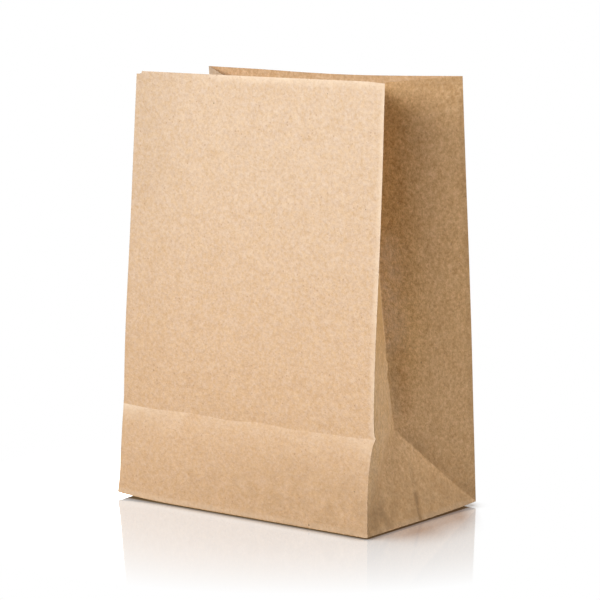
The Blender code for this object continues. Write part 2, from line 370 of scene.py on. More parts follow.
def grid_cuts(sizes):
    """The places across, in depth and up at which the carton is cut: its grid, and beside its folds."""
    half_width, half_gusset = sizes.width / 2, sizes.gusset_depth / 2
    soft, cell = sizes.fold_softness, half_gusset / HALF_GUSSET_CELLS
    insets = [soft] + [cell * step for step in range(1, HALF_GUSSET_CELLS + 1)]
    across = even_steps(half_gusset - half_width, half_width - half_gusset, MIDDLE_CELLS)
    across += [sign * (half_width - inset) for inset in insets for sign in (LEFT, RIGHT)]
    across += [-sizes.seam_width / 2, sizes.seam_width / 2, sizes.nick_width - half_width]
    deep = even_steps(-half_gusset, half_gusset, 2 * HALF_GUSSET_CELLS)
    deep += [-BESIDE_CREASE, -soft, soft, BESIDE_CREASE]
    deep += [soft - half_gusset, half_gusset - soft, sizes.nick_width - half_gusset]
    up = [soft] + even_steps(0, half_gusset, HALF_GUSSET_CELLS)
    up += [half_gusset - BESIDE_CREASE, half_gusset + BESIDE_CREASE]
    up += [half_gusset - soft, half_gusset, half_gusset + soft]
    up += even_steps(half_gusset, sizes.height, UPPER_CELLS)
    up += [sizes.height - sizes.nick_depth]
    return across, deep, up


def cut_carton(sizes):
    """The open carton, still flat-sided, cut along its creases, beside them and into a grid."""
    half_width, half_gusset = sizes.width / 2, sizes.gusset_depth / 2
    mesh = bmesh.new()
    bmesh.ops.create_cube(mesh, size=1)
    bmesh.ops.scale(mesh, vec=(sizes.width, sizes.gusset_depth, sizes.height), verts=mesh.verts)
    bmesh.ops.translate(mesh, vec=(0, 0, sizes.height / 2), verts=mesh.verts)
    lid = [face for face in mesh.faces if face.normal.z > FACING]
    bmesh.ops.delete(mesh, geom=lid, context="FACES_ONLY")

    for axis, places in zip(((1, 0, 0), (0, 1, 0), (0, 0, 1)), grid_cuts(sizes)):
        for place in places:
            cut(mesh, mesh.faces[:], Vector(axis) * place, axis)

    slant = sizes.fold_softness * math.sqrt(2)
    for face in (FRONT, BACK):
        for beside in (-slant, 0, slant):
            cut(mesh, side_faces(mesh, half_gusset), (0, face * (half_gusset + beside), 0), (0, face, 1))
        for sign in (LEFT, RIGHT):
            corner = (sign * half_width, face * half_gusset, 0)
            cut(mesh, base_faces(mesh), corner, (sign, -face, 0))
    cut(mesh, base_faces(mesh), (0, sizes.flap_overlap / 2, 0), (0, 1, 0))
    return mesh


class GluedPaper:
    """Which parts of the carton carry doubled paper: the bottom flaps and the seam down the back."""

    def __init__(self, sizes):
        self.sizes = sizes
        self.half_width = sizes.width / 2
        self.half_gusset = sizes.gusset_depth / 2

    def front_flap(self, flat):
        """The outer bottom flap, which folds over from the front panel."""
        on_base = flat.z < SNAP and flat.y < self.sizes.flap_overlap / 2
        return on_base and flat.y + self.half_gusset < self.half_width - abs(flat.x)

    def back_flap(self, flat):
        """The flap below that one, which folds over from the back panel."""
        return flat.z < SNAP and self.half_gusset - flat.y < self.half_width - abs(flat.x)

    def flaps(self, flat):
        """Either bottom flap."""
        return self.front_flap(flat) or self.back_flap(flat)

    def seam(self, flat):
        """The glued overlap down the back panel."""
        return flat.y > self.half_gusset - SNAP and abs(flat.x) < self.sizes.seam_width / 2


def nick_mouth(mesh, sizes):
    """Takes out the nick at the mouth, on both sides of the front left fold."""
    nicked = []
    for face in mesh.faces:
        middle = face.calc_center_median()
        from_fold = (middle.x + sizes.width / 2) + (middle.y + sizes.gusset_depth / 2)
        if middle.z > sizes.height - sizes.nick_depth and from_fold < sizes.nick_width:
            nicked.append(face)
    bmesh.ops.delete(mesh, geom=nicked, context="FACES")


def hold_outlines(mesh, glued):
    """Keeps the outlines of the glued paper straight when the sheet is smoothed."""
    held = mesh.edges.layers.float.new("crease_edge")
    for edge in mesh.edges:
        if len(edge.link_faces) != 2:
            continue
        one, other = (face.calc_center_median() for face in edge.link_faces)
        if (one.z < SNAP) != (other.z < SNAP):
            continue
        for chosen in (glued.front_flap, glued.back_flap, glued.seam):
            if chosen(one) != chosen(other):
                edge[held] = 1.0


def finished_mesh(mesh, name, kind, settings):
    """A bmesh given a modifier with some settings, as a mesh of its own."""
    surface = bpy.data.meshes.new(name)
    mesh.to_mesh(surface)
    mesh.free()
    holder = bpy.data.objects.new(name, surface)
    bpy.context.scene.collection.objects.link(holder)
    modifier = holder.modifiers.new(kind.lower(), kind)
    for setting, value in settings.items():
        setattr(modifier, setting, value)
    ready = holder.evaluated_get(bpy.context.evaluated_depsgraph_get())
    made = bpy.data.meshes.new_from_object(ready)
    bpy.data.objects.remove(holder)
    bpy.data.meshes.remove(surface)
    return made


def line_distance(point, start, end):
    """Distance from a flat point to a line between two others."""
    along = end - start
    reached = max(0.0, min(1.0, (point - start).dot(along) / along.length_squared))
    return (point - start - along * reached).length


def smooth_share(value, reach):
    """0 at no value, easing to 1 at the reach."""
    share_there = max(0.0, min(1.0, value / reach))
    return share_there * share_there * (3 - 2 * share_there)


def past(value, start, reach):
    """0 up to a start, easing to 1 over the reach beyond it."""
    return smooth_share(value - start, reach)


def until(value, start, reach):
    """1 up to a start, easing to 0 over the reach beyond it."""
    return 1 - smooth_share(value - start, reach)


def line_mark(distance, reach):
    """1 on a line, fading softly with the distance from it."""
    return math.exp(-((distance / reach) ** 2))


# The wrinkles and dents of the gussets: the side; two points of the gusset laid flat, as their depth behind
# its centre fold and their height; the reach to either side of the line between them; and how far each
# wrinkle stands out, or falls in where that is negative.
RELIEF_MARKS = (
    (RIGHT, (-0.0010, 0.000), (0.0026, 0.024), 0.0013, -0.00055),
    (RIGHT, (0.0020, 0.000), (0.0040, 0.026), 0.0070, -0.00060),
    (RIGHT, (-0.0280, 0.002), (-0.0150, 0.030), 0.0085, -0.00130),
    (RIGHT, (-0.0060, 0.0900), (0.0050, 0.0890), 0.0035, 0.00090),
    (RIGHT, (0.0000, 0.0850), (0.0060, 0.0845), 0.0030, -0.00070),
    (RIGHT, (0.0050, 0.0940), (0.0060, 0.0620), 0.0060, -0.00130),
    (RIGHT, (0.0100, 0.0400), (0.0400, 0.0130), 0.0080, -0.00050),
    (LEFT, (0.0012, 0.000), (0.0002, 0.022), 0.0013, -0.00045),
    (LEFT, (0.0240, 0.002), (0.0120, 0.028), 0.0085, -0.00090),
    (LEFT, (-0.0040, 0.098), (0.0070, 0.1000), 0.0040, 0.00060),
)

# The painted light and painted shade of the gussets' wrinkles and hollows, given in the same way up to their
# reach, with the share of painted light and the share of painted shade along each.
TONE_MARKS = (
    (RIGHT, (-0.0012, 0.000), (0.0016, 0.017), 0.0023, 0.0, 1.60),
    (RIGHT, (0.0016, 0.017), (0.0026, 0.024), 0.0030, 0.0, 0.90),
    (RIGHT, (0.0026, 0.024), (0.0036, 0.031), 0.0030, 0.0, 0.50),
    (RIGHT, (0.0040, 0.105), (0.0060, 0.155), 0.0090, 0.40, 0.0),
    (RIGHT, (0.0022, 0.098), (0.0030, 0.064), 0.0036, 0.0, 0.50),
    (RIGHT, (0.0040, 0.170), (0.0080, 0.240), 0.0140, 0.0, 0.26),
    (RIGHT, (0.0000, 0.0855), (0.0060, 0.0850), 0.0016, 0.0, 0.5),
    (LEFT, (0.0018, 0.001), (0.0008, 0.020), 0.0012, 0.0, 0.8),
)


def marks_near(marks, flat):
    """How near a point of a gusset lies to each mark of its side, with the mark's strengths."""
    spot = Vector((flat.y, flat.z))
    side = LEFT if flat.x < 0 else RIGHT
    for sign, start, end, reach, *strengths in marks:
        if sign == side:
            yield line_mark(line_distance(spot, Vector(start), Vector(end)), reach), strengths


class PaperRelief:
    """How far each point of the sheet stands out from its flat panel, from handling."""

    def __init__(self, sizes, look):
        self.waviness = look.waviness
        self.half_width = sizes.width / 2
        self.half_gusset = sizes.gusset_depth / 2

    def to_fold(self, flat):
        """Distance along the paper to the nearest fold that keeps a panel straight."""
        if abs(flat.y) > self.half_gusset - SNAP:
            return min(self.half_width - abs(flat.x), flat.z)
        to_edge = self.half_gusset - abs(flat.y)
        if flat.z > self.half_gusset:
            to_edge = min(to_edge, abs(flat.y))
        return min(to_edge, flat.z)

    def height(self, flat):
        """The relief at a point of the carton, along the paper's outward normal."""
        if flat.z < SNAP:
            return 0.0
        free = WAVES_ON_FOLD + (1 - WAVES_ON_FOLD) * min(1.0, self.to_fold(flat) / FOLD_HOLD)
        waves = noise.noise(flat * BROAD_WAVES)
        waves += STREAK_SHARE * noise.noise(flat * STREAK_WAVES)
        waves += FINE_SHARE * noise.noise(flat * FINE_WAVES + FINE_SHIFT)
        relief = free * self.waviness * waves
        if abs(flat.y) < self.half_gusset - SNAP:
            to_edge = min(self.half_gusset - abs(flat.y), flat.z + WRINKLE_START)
            loose = smooth_share(to_edge, WRINKLE_HOLD)
            for near, (stands_out,) in marks_near(RELIEF_MARKS, flat):
                relief += loose * stands_out * near
        return relief


class PaperTone:
    """Where the paper is worn pale or given painted highlights, pressed dark or given painted shade, and how
    much painted fold shade and painted light it takes.

    Each is a share: 0 for none, 1 for full, and more in the middle of a mark that is full over some width.
    Distances are metres along the paper.
    """

    def __init__(self, sizes):
        self.sizes = sizes
        self.half_width = sizes.width / 2
        self.half_gusset = sizes.gusset_depth / 2

    def front(self, flat):
        """Shares of painted highlight and of painted shade on the front panel, with a pale line along its
        bottom fold.
        """
        above_crease = flat.z - self.half_gusset
        from_left, from_right = self.half_width + flat.x, self.half_width - flat.x
        # Painted highlights along the right fold and, with the cut edge's own paleness, along the mouth's
        # right part; a pale line along the bottom fold.
        right_edge = (0.90 if above_crease > 0 else 0.15) * line_mark(from_right, 0.0008)
        mouth_edge = line_mark(self.sizes.height - flat.z, 0.0017) * past(flat.x, -0.060, 0.050)
        worn_and_lit = max(right_edge, mouth_edge, 0.5 * line_mark(flat.z, EDGE_LINE_REACH))

        # Painted shade along the left fold and beside it, more towards the mouth, and at the foot, more to
        # the right.
        beside_left = 0.12 + 0.14 * past(flat.z, 0.150, 0.080)
        foot = 0.20 + 0.45 * smooth_share(from_left, 2 * self.half_width)
        shade_and_crease = max(
            0.24 * line_mark(from_left, 0.0020),
            beside_left * until(from_left, 0.0, 0.055),
            foot * until(flat.z, 0.001, 0.060),
        )
        # Painted shade just above the crease, and a patchy painted highlight just below it, strongest near
        # the ends.
        if above_crease > 0:
            shade_and_crease = max(shade_and_crease, 0.11 * math.exp(-above_crease / 0.010))
        elif above_crease < 0:
            near_end = max(fade(from_right, 0.034), fade(from_left, 0.070))
            patchy = 0.75 + 0.60 * noise.noise(Vector((flat.x * 90.0, 5.0, flat.z * 60.0)))
            worn_and_lit = max(worn_and_lit, (0.38 + 0.85 * near_end) * patchy * math.exp(above_crease / 0.0075))
        return worn_and_lit, shade_and_crease

    def above_triangle(self, flat):
        """How far a point of a gusset lies clear of the triangle at its foot, above the slanting crease."""
        inset = self.half_gusset - abs(flat.y)
        return past(flat.z - inset, 0.008, 0.009)

    def gusset(self, flat):
        """Shares of a gusset: a pale line along its foot, painted highlights on its front half and along the
        near edge, and painted shade at its foot, along its slanting creases and folds, near the mouth and in
        its hollows.
        """
        in_front, on_right = flat.y < 0, flat.x > 0
        inset = self.half_gusset - abs(flat.y)
        above_slant = (flat.z - inset) / math.sqrt(2)
        worn_and_lit = 0.5 * line_mark(flat.z, EDGE_LINE_REACH)

        # Painted shade: at the foot, most towards the front on the right; on the triangles below the slanting
        # creases; near the mouth; and in the back half near its outer fold.
        foot = 0.56 + (0.58 if on_right else 0.10) * past(-flat.y, 0.012, 0.034)
        shade_and_crease = foot * until(flat.z, 0.001, 0.036)
        shade_and_crease += 0.16 * smooth_share(-above_slant, 0.004)
        shade_and_crease += 0.25 * until(self.sizes.height - flat.z, 0.0, 0.012)
        if above_slant > 0 and not in_front:
            shade_and_crease += 0.20 * until(inset, 0.026, 0.020)
        # Painted shade on the right front half, just above the foot beside the near edge.
        if in_front and on_right:
            beside_edge = past(inset, 0.004, 0.008) * until(inset, 0.016, 0.012)
            above_foot = past(flat.z, 0.004, 0.010) * until(flat.z, 0.026, 0.022)
            shade_and_crease += 0.26 * beside_edge * above_foot
        # Painted shade along the back fold.
        if not in_front:
            shade_and_crease = max(shade_and_crease, 0.6 * line_mark(inset, EDGE_LINE_REACH))
        # Painted shade just above the slanting creases, fading out towards the crease height.
        if above_slant > 0 and flat.z < self.half_gusset:
            shade = until(above_slant, 0.0055, 0.006) if in_front else 2.5 * math.exp(-above_slant / 0.010)
            shade_and_crease = max(shade_and_crease, 0.26 * shade * smooth_share(self.half_gusset - flat.z, 0.012))
        # Painted highlights on the front half above its triangle and along the near edge, and painted shade
        # beside that edge just over the crease.
        if in_front:
            lit_strip = 0.36 * self.above_triangle(flat) * until(flat.z, 0.075, 0.050)
            worn_and_lit = max(worn_and_lit, lit_strip, 0.35 * line_mark(inset, 0.0010))
            over_crease = line_mark(flat.z - self.half_gusset - 0.007, 0.014)
            shade_and_crease = max(shade_and_crease, 0.7 * line_mark(inset - 0.0015, 0.0030) * over_crease)
        # The marks' painted light and painted shade.
        for near, (pale, dark) in marks_near(TONE_MARKS, flat):
            worn_and_lit = max(worn_and_lit, pale * near)
            shade_and_crease = max(shade_and_crease * (1 - pale * near), dark * near)
        return worn_and_lit, shade_and_crease

    def fold_shade(self, flat):
        """How much painted fold shade, a deeper and warmer colour, a gusset takes; more with height and
        depth.
        """
        inset = self.half_gusset - abs(flat.y)
        to_mouth = self.sizes.height - flat.z
        kept = 0.54 + (0.13 + 0.33 * past(inset, 0.020, 0.026)) * past(flat.z, 0.045, 0.075)
        if flat.x < 0:
            return 0.6 * kept * smooth_share(to_mouth, 0.060)
        kept *= 1 - 0.25 * until(to_mouth, 0.0, 0.018) * past(inset, 0.016, 0.024)
        return max(kept, 0.95 * self.above_triangle(flat)) if flat.y < 0 else kept

    def back(self, flat):
        """Worn and pressed shares of the back panel, at its folds and along its glued seam."""
        past_seam = abs(flat.x) - self.sizes.seam_width / 2
        fold = 0.5 * line_mark(self.half_width - abs(flat.x), EDGE_LINE_REACH)
        seam_edge = 0.8 * line_mark(past_seam + 0.0004, 0.0005)
        return max(fold, seam_edge), 0.6 * line_mark(past_seam - 0.0008, 0.0010)

    def base(self, flat):
        """Worn and pressed shares of the underside, along the outline of its outer flap."""
        past_end = flat.y - self.sizes.flap_overlap / 2
        past_side = (flat.y + self.half_gusset - self.half_width + abs(flat.x)) / math.sqrt(2)
        past_flap = max(past_end, past_side)
        return 0.8 * line_mark(past_flap + 0.0004, 0.0010), 0.5 * line_mark(past_flap - 0.0030, 0.0024)

    def inside(self, flat):
        """The four shares of the inside: no worn paper; painted shade that grows towards the right, with a
        dark line along the mouth edge; some painted fold shade; and a fixed share of painted light.
        """
        shade = 0.08 + 0.29 * smooth_share(flat.x + self.half_width, 2 * self.half_width)
        mouth_edge = 0.4 * line_mark(self.sizes.height - flat.z, 0.0010)
        return 0.0, max(shade, mouth_edge), 0.35, 0.6

    def shares(self, flat, normal):
        """The shares of worn paper and painted highlight, of pressed lines and painted shade, of painted fold
        shade and of painted light at a point of the carton.
        """
        fold_shade = 0.0
        if flat.z < SNAP:
            outward = Vector((0, 0, -1))
            worn_and_lit, shade_and_crease = self.base(flat)
            # The underside takes some painted fold shade.
            fold_shade = 0.3
        elif abs(flat.y) > self.half_gusset - SNAP:
            outward = Vector((0, flat.y, 0))
            worn_and_lit, shade_and_crease = self.front(flat) if flat.y < 0 else self.back(flat)
        else:
            outward = Vector((flat.x, 0, 0))
            worn_and_lit, shade_and_crease = self.gusset(flat)
            fold_shade = self.fold_shade(flat)
        if normal.dot(outward) < 0:
            return self.inside(flat)
        # Painted light grows from the base to the mouth.
        return worn_and_lit, shade_and_crease, fold_shade, smooth_share(flat.z, self.sizes.height)


def opened(surface):
    """A mesh taken over into a bmesh, with its normals."""
    mesh = bmesh.new()
    mesh.from_mesh(surface)
    bpy.data.meshes.remove(surface)
    mesh.normal_update()
    return mesh


def folded_skin(sizes, glued):
    """The folded and smoothed bag without thickness. It keeps each point's place on the flat-sided carton."""
    folds = BagFolds(sizes)
    carton = cut_carton(sizes)
    nick_mouth(carton, sizes)
    hold_outlines(carton, glued)
    flat_layer = carton.verts.layers.float_vector.new(FLAT)
    for point in carton.verts:
        point[flat_layer] = point.co
        point.co = folds.place(point.co.copy())
    levels = {"levels": SMOOTHING_LEVELS, "render_levels": SMOOTHING_LEVELS}
    return finished_mesh(carton, "bag_skin", "SUBSURF", {**levels, "boundary_smooth": "PRESERVE_CORNERS"})


def paper_wall(skin, sizes, look):
    """The skin given its relief and the thickness of the paper."""
    relief = PaperRelief(sizes, look)
    sheet = opened(skin)
    flat_layer = sheet.verts.layers.float_vector[FLAT]
    for point in sheet.verts:
        point.co += point.normal * relief.height(point[flat_layer])
    sheet.normal_update()
    wall = {"thickness": sizes.paper, "offset": -1, "use_even_offset": True, "use_quality_normals": True}
    return finished_mesh(sheet, "bag_wall", "SOLIDIFY", wall)


def raise_layer(mesh, chosen, outward, thickness):
    """Adds one more thickness of paper over the outer faces that are chosen."""
    flat_layer = mesh.verts.layers.float_vector[FLAT]
    faces = []
    for face in mesh.faces:
        middle = Vector((0, 0, 0))
        for point in face.verts:
            middle += point[flat_layer] / len(face.verts)
        if face.normal.dot(outward) > FACING_FOLDED and chosen(middle):
            faces.append(face)
    grown = bmesh.ops.extrude_face_region(mesh, geom=faces)["geom"]
    bmesh.ops.delete(mesh, geom=faces, context="FACES")
    points = [item for item in grown if isinstance(item, bmesh.types.BMVert)]
    bmesh.ops.translate(mesh, vec=outward * thickness, verts=points)


def keep_tones(mesh, sizes):
    """Writes the shares of the paper's tones to the points, for the material."""
    tone = PaperTone(sizes)
    layers = [mesh.verts.layers.float.new(name) for name in TONES]
    flat_layer = mesh.verts.layers.float_vector[FLAT]
    for point in mesh.verts:
        for layer, value in zip(layers, tone.shares(point[flat_layer], point.normal)):
            point[layer] = value


def fold_sheet(sizes, look):
    """The whole bag as a mesh: cut, folded, smoothed, waved, thickened and glued."""
    glued = GluedPaper(sizes)
    bag = opened(paper_wall(folded_skin(sizes, glued), sizes, look))
    raise_layer(bag, glued.seam, Vector((0, 1, 0)), sizes.paper)
    raise_layer(bag, glued.flaps, Vector((0, 0, -1)), sizes.paper)
    bag.normal_update()
    raise_layer(bag, glued.front_flap, Vector((0, 0, -1)), sizes.paper)
    bag.normal_update()
    keep_tones(bag, sizes)
    made = bpy.data.meshes.new("kraft_bag")
    bag.to_mesh(made)
    bag.free()
    made.shade_smooth()
    made.set_sharp_from_angle(angle=SHARP_FOLD)
    return made


def add_node(tree, kind, inputs=None, **settings):
    """Adds a node. Its inputs are given values, or linked where the value is another node's socket."""
    made = tree.nodes.new(kind)
    for setting, value in settings.items():
        setattr(made, setting, value)
    for socket, value in (inputs or {}).items():
        if isinstance(value, bpy.types.NodeSocket):
            tree.links.new(value, made.inputs[socket])
        else:
            made.inputs[socket].default_value = value
    return made


def maths(tree, operation, first, second=0.0, clamp=False):
    """The result of a Math node."""
    settings = {"operation": operation, "use_clamp": clamp}
    return add_node(tree, "ShaderNodeMath", {0: first, 1: second}, **settings).outputs[0]


def ramp(tree, value, low, high, start=0.0, end=1.0):
    """A value carried from one range to another, held at its ends."""
    sockets = {"Value": value, "From Min": low, "From Max": high, "To Min": start, "To Max": end}
    return add_node(tree, "ShaderNodeMapRange", sockets, clamp=True).outputs["Result"]


def opaque(shade):
    """A colour as a socket holds it."""
    return (*shade, 1.0)


MIX_SOCKETS = (0, 6, 7)  # a Mix node's factor and its two colours
MIX_RESULT = 2


def blend(tree, kind, factor, first, second):
    """Two colours mixed by a factor."""
    sockets = dict(zip(MIX_SOCKETS, (factor, first, second)))
    return add_node(tree, "ShaderNodeMix", sockets, data_type="RGBA", blend_type=kind).outputs[MIX_RESULT]


def new_group(name, sockets):
    """An empty shader node group. Each socket is IN or OUT, a name, a kind and an input's value."""
    group = bpy.data.node_groups.new(name, "ShaderNodeTree")
    for way, label, kind, value in sockets:
        made = group.interface.new_socket(
            name=label, in_out="INPUT" if way == "IN" else "OUTPUT", socket_type="NodeSocket" + kind
        )
        if way == "IN" and value is not None:
            made.default_value = value
    return group, add_node(group, "NodeGroupInput"), add_node(group, "NodeGroupOutput")


FIBRE_RUN = (1.0, 1.0, 0.70)  # draws the fine fibres out up the bag
MIDDLE_FIBRES = 0.36  # scale of the middle fibres, as a share of the fine ones' grain
COARSE_FIBRES = 0.17  # scale of the coarse fibres
WARM_FIBRES = 0.25  # scale on which warm and cool fibres change
TONE_WEIGHTS = (0.38, 0.50, 0.18, 0.14)  # fine, middle and coarse fibres, and the clouding
RELIEF_WEIGHTS = (0.50, 0.90, 0.45)  # fine, middle and coarse fibres
TONE_RANGE = (0.46, 0.74)  # weighed noise at which the pulp is darkest and at which it is palest
WARM_RANGE = (0.36, 0.64)  # noise at which the fibres are coolest and at which they are warmest
WEAR_AND_SHADE_RANGE = (0.35, 0.62)  # noise at which the marks of worn paper, pressed lines and painted light and shade are weakest and full
WEAKEST_WEAR_AND_SHADE = 0.45
SPECK_PUSH = (0.0006, 0.0006, 0.0006)  # how far the outlines of the specks are pushed about


def kraft_fibre_group():
    """Tone, relief and warmth of the fibres in kraft paper, the fine ones drawn out up the bag."""
    group, start, end = new_group("kraft_fibre", (
        ("IN", "Place", "Vector", None),
        ("IN", "Grain", "Float", 1400.0),
        ("IN", "Clouding", "Float", 90.0),
        ("OUT", "Tone", "Float", None),
        ("OUT", "Relief", "Float", None),
        ("OUT", "Warmth", "Float", None),
    ))
    place = start.outputs["Place"]
    run = add_node(group, "ShaderNodeMapping", {"Vector": place, "Scale": FIBRE_RUN}).outputs[0]
    grain = start.outputs["Grain"]
    layers = []
    for vector, scale, detail in (
        (run, grain, 2.0),
        (place, maths(group, "MULTIPLY", grain, MIDDLE_FIBRES), 2.0),
        (place, maths(group, "MULTIPLY", grain, COARSE_FIBRES), 2.0),
        (place, start.outputs["Clouding"], 3.0),
    ):
        sockets = {"Vector": vector, "Scale": scale, "Detail": detail, "Roughness": 0.55}
        layers.append(add_node(group, "ShaderNodeTexNoise", sockets).outputs[0])

    def weighed(weights):
        """The layers of noise added up by their weights."""
        total = maths(group, "MULTIPLY", layers[0], weights[0])
        for layer, weight in zip(layers[1:], weights[1:]):
            total = maths(group, "ADD", total, maths(group, "MULTIPLY", layer, weight))
        return total

    group.links.new(ramp(group, weighed(TONE_WEIGHTS), *TONE_RANGE), end.inputs["Tone"])
    group.links.new(weighed(RELIEF_WEIGHTS), end.inputs["Relief"])
    warm_scale = maths(group, "MULTIPLY", grain, WARM_FIBRES)
    mixed = add_node(group, "ShaderNodeTexNoise", {
        "Vector": place, "Scale": warm_scale, "Detail": 3.0, "Roughness": 0.75
    }).outputs["Color"]
    draw = add_node(group, "ShaderNodeSeparateColor", {0: mixed})
    group.links.new(ramp(group, draw.outputs[1], *WARM_RANGE), end.inputs["Warmth"])
    return group


def stray_speck_group():
    """A mask of small ragged specks, one in some of the cells that it divides the paper into."""
    group, start, end = new_group("stray_specks", (
        ("IN", "Place", "Vector", None),
        ("IN", "Cells", "Float", 150.0),
        ("IN", "Share", "Float", 0.2),
        ("IN", "Size", "Float", 0.06),
        ("OUT", "Mask", "Float", None),
    ))
    bent = add_node(group, "ShaderNodeTexNoise", {
        "Vector": start.outputs["Place"], "Scale": 900.0, "Detail": 1.0
    }).outputs["Color"]
    pushed = add_node(group, "ShaderNodeVectorMath", {0: bent, 1: SPECK_PUSH}, operation="MULTIPLY")
    place = add_node(group, "ShaderNodeVectorMath", {
        0: start.outputs["Place"], 1: pushed.outputs[0]
    }, operation="ADD").outputs[0]
    cells = add_node(group, "ShaderNodeTexVoronoi", {"Vector": place, "Scale": start.outputs["Cells"]})
    draw = add_node(group, "ShaderNodeSeparateColor", {0: cells.outputs["Color"]})
    kept = maths(group, "LESS_THAN", draw.outputs[0], start.outputs["Share"])
    radius = maths(group, "MULTIPLY", start.outputs["Size"], maths(group, "ADD", draw.outputs[1], 0.35))
    from_middle = maths(group, "DIVIDE", cells.outputs["Distance"], radius)
    near = maths(group, "SUBTRACT", 1.0, from_middle, clamp=True)
    dark = maths(group, "MULTIPLY", ramp(group, near, 0.0, 0.5), kept)
    group.links.new(dark, end.inputs["Mask"])
    return group


def fold_wear_and_shade_group():
    """A mask along folds and marks, for worn paper and pressed lines and for painted highlights and shade,
    broken into patches.
    """
    group, start, end = new_group("fold_wear", (
        ("IN", "Place", "Vector", None),
        ("IN", "Fold", "Float", 0.0),
        ("IN", "Strength", "Float", 0.5),
        ("OUT", "Mask", "Float", None),
    ))
    patches = add_node(group, "ShaderNodeTexNoise", {
        "Vector": start.outputs["Place"], "Scale": 140.0, "Detail": 4.0, "Roughness": 0.65
    }).outputs[0]
    broken = ramp(group, patches, *WEAR_AND_SHADE_RANGE, WEAKEST_WEAR_AND_SHADE, 1.0)
    patchy = maths(group, "MULTIPLY", start.outputs["Fold"], broken)
    group.links.new(maths(group, "MULTIPLY", patchy, start.outputs["Strength"]), end.inputs["Mask"])
    return group


# Worn paper with painted highlights, and pressed lines with painted shade, that cover the paper: the tone
# attribute, the strength and the colour of each.
WEAR_AND_SHADE = (
    ("worn_paper", 0.80, "worn_and_lit"),
    ("pressed_paper", 0.85, "shade_and_crease"),
)

# The specks in the pulp: their cells in a metre, the share of the cells that hold one, its size as a share of
# the cell, its strength and its colour.
SPECKS = (
    (400.0, 0.32, 0.220, 0.42, "bran"),
    (210.0, 0.05, 0.100, 0.55, "bark"),
    (100.0, 0.07, 0.065, 0.85, "bark"),
)

FOLD_SHADE_GRAIN_SHARE = 0.80  # how much of the darker fibres of the painted fold shade the shaded paper takes
FOLD_SHADE_CAST = 0.30  # how much of the warm and cool fibres' tints is left in the painted fold shade
ROUGHNESS_SPREAD = 0.06  # how far the fibres differ from the paper's roughness
PAPER_SPECULAR = 0.35


def kraft_pulp(tree, look, fibre, tones):
    """The colour of the pulp, by its fibres, with painted fold shade and with painted light towards the
    mouth.
    """
    tone, fold_shade = fibre.outputs["Tone"], tones["tucked_paper"]
    pulp = blend(tree, "MIX", tone, opaque(look.paper_dark), opaque(look.paper_light))
    # Painted fold shade: darker fibres where the paper is folded in.
    shaded_grain = blend(tree, "MIX", tone, opaque(look.fold_shade_grain), WHITE)
    pulp = blend(tree, "MULTIPLY", maths(tree, "MULTIPLY", fold_shade, FOLD_SHADE_GRAIN_SHARE), pulp, shaded_grain)
    cast = blend(tree, "MIX", fibre.outputs["Warmth"], opaque(look.cool), opaque(look.warm))
    pulp = blend(tree, "MULTIPLY", ramp(tree, fold_shade, 0.0, 0.6, 1.0, FOLD_SHADE_CAST), pulp, cast)
    # Painted light and shade: the outer panels darker at the base and paler at the mouth; then the painted
    # fold shade's deeper, warmer tint.
    outer = blend(tree, "MIX", tones["faded_paper"], opaque(look.base_shade_tint), opaque(look.mouth_light_tint))
    tint = blend(tree, "MIX", fold_shade, outer, opaque(look.fold_shade_tint))
    return blend(tree, "MULTIPLY", 1.0, pulp, tint)


def kraft_paper_material(look):
    """Unbleached kraft: mottled pulp, short fibres, bark and bran specks, worn paper and pressed lines, with
    painted highlights, painted shade and painted light towards the mouth.
    """
    material = bpy.data.materials.new("kraft_paper_sheet")
    material.use_nodes = True
    tree = material.node_tree
    shader = tree.nodes["Principled BSDF"]
    place = add_node(tree, "ShaderNodeTexCoord").outputs["Object"]
    tones = {}
    for name in TONES:
        tones[name] = add_node(tree, "ShaderNodeAttribute", attribute_name=name).outputs["Fac"]
    fibre = add_node(tree, "ShaderNodeGroup", {"Place": place}, node_tree=kraft_fibre_group())
    pulp = kraft_pulp(tree, look, fibre, tones)
    wear_and_shade_masks = fold_wear_and_shade_group()
    # Worn paper with painted highlights, then pressed lines with painted shade.
    for name, strength, shade in WEAR_AND_SHADE:
        sockets = {"Place": place, "Fold": tones[name], "Strength": strength}
        mask = add_node(tree, "ShaderNodeGroup", sockets, node_tree=wear_and_shade_masks).outputs["Mask"]
        pulp = blend(tree, "MIX", mask, pulp, opaque(getattr(look, shade)))
    specks = stray_speck_group()
    for cells, kept, size, strength, shade in SPECKS:
        sockets = {"Place": place, "Cells": cells, "Share": kept, "Size": size}
        mask = add_node(tree, "ShaderNodeGroup", sockets, node_tree=specks).outputs["Mask"]
        pulp = blend(tree, "MIX", maths(tree, "MULTIPLY", mask, strength), pulp, opaque(getattr(look, shade)))
    tree.links.new(pulp, shader.inputs["Base Color"])

    roughest, smoothest = look.roughness + ROUGHNESS_SPREAD, look.roughness - ROUGHNESS_SPREAD
    rough = ramp(tree, fibre.outputs["Tone"], 0.0, 1.0, roughest, smoothest)
    tree.links.new(rough, shader.inputs["Roughness"])
    shader.inputs["Metallic"].default_value = 0.0
    shader.inputs["Specular IOR Level"].default_value = PAPER_SPECULAR
    raised = {"Height": fibre.outputs["Relief"], "Strength": 1.0, "Distance": look.fibre_relief}
    tree.links.new(add_node(tree, "ShaderNodeBump", raised).outputs[0], shader.inputs["Normal"])
    return material


def mixed_shader(tree, factor, first, second):
    """Two shaders mixed by a factor."""
    sockets = {0: factor, 1: first.outputs[0], 2: second.outputs[0]}
    return add_node(tree, "ShaderNodeMixShader", sockets)


